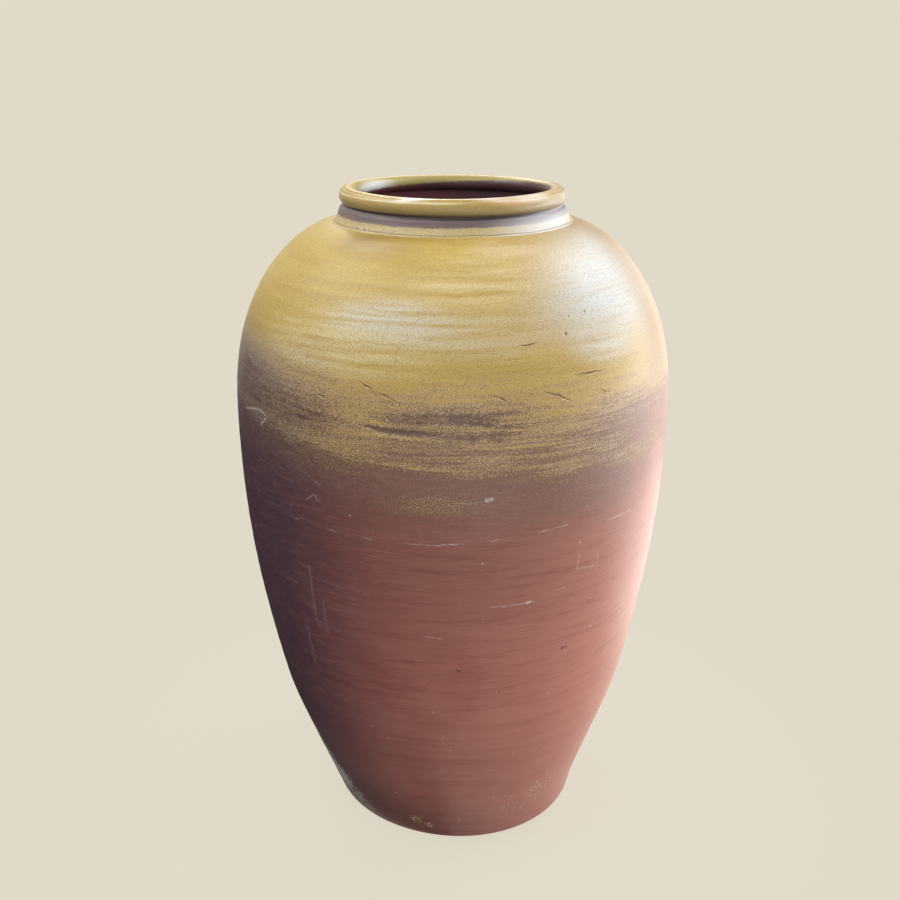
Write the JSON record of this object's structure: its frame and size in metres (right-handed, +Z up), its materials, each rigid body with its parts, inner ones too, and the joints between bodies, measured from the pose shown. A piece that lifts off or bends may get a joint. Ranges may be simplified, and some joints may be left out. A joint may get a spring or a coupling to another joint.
{
  "type": "stoneware jar",
  "caption": "Tall round storage jar with a narrow foot, wide belly, short bare neck and thick rolled rim, ochre glaze sprayed over dark red-brown clay.",
  "frame": {"origin": "centre of the flat base that the jar stands on", "axes": "+Z up along the jar's own axis; -Y faces the camera of the picture"},
  "size_m": [0.598, 0.598, 0.9004],
  "materials": {
    "iron_slip_clay": "satin",
    "sprayed_ash_over_slip": "satin",
    "ochre_ash_glaze": "satin",
    "bare_neck_clay": "satin"
  },
  "bodies": {
    "root": {"base_slab": "iron_slip_clay", "foot_ring": "iron_slip_clay", "lower_wall": "iron_slip_clay", "belly_wall": "sprayed_ash_over_slip", "shoulder_wall": "ochre_ash_glaze", "neck_collar": "bare_neck_clay", "rolled_rim": "ochre_ash_glaze"}
  },
  "joints": []
}
